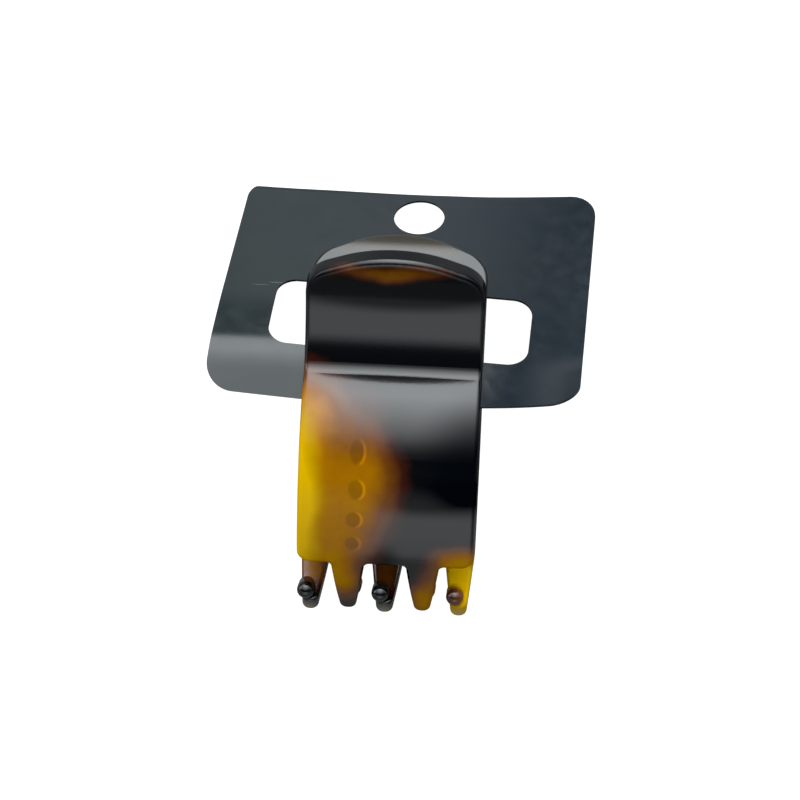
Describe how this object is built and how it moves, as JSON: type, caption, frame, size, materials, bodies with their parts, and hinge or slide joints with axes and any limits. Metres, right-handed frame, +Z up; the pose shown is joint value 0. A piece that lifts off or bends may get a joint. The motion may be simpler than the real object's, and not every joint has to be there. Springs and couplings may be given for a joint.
{
  "type": "claw clip",
  "caption": "Sprung hair claw clip with two interleaving toothed jaws on a wire-sprung hinge, hanging on a bent plastic display card.",
  "frame": {"origin": "centre of the bottom of the whole part's box, on the surface it lies on", "axes": "+X along the hinge, +Y from the teeth towards the tabs and the card's hanging hole, +Z up; the clip lies on its back, on the front jaw's tip pegs and the card's top edge"},
  "size_m": [0.0644, 0.0766, 0.0412],
  "materials": {
    "front_jaw": "glossy tortoiseshell acetate, amber to near black",
    "back_jaw": "glossy tortoiseshell acetate, amber to near black",
    "hinge_pin": "plain drawn steel",
    "torsion_spring": "spring wire",
    "hang_card": "satin dark gray plastic sheet"
  },
  "bodies": {
    "back": {"back_jaw": "back_jaw", "hinge_pin": "hinge_pin", "torsion_spring": "torsion_spring", "hang_card": "hang_card"},
    "front": {"front_jaw": "front_jaw"}
  },
  "joints": [
    {"name": "jaw", "type": "hinge", "parent": "back", "child": "front", "pos_m": [0, 0.00589, 0.02226], "axis": [-1, 0, 0], "range_deg": [0, 60], "stiffness_Nm_per_rad": 0.05, "springref_deg": -57.3, "deforming": ["torsion_spring"]}
  ]
}
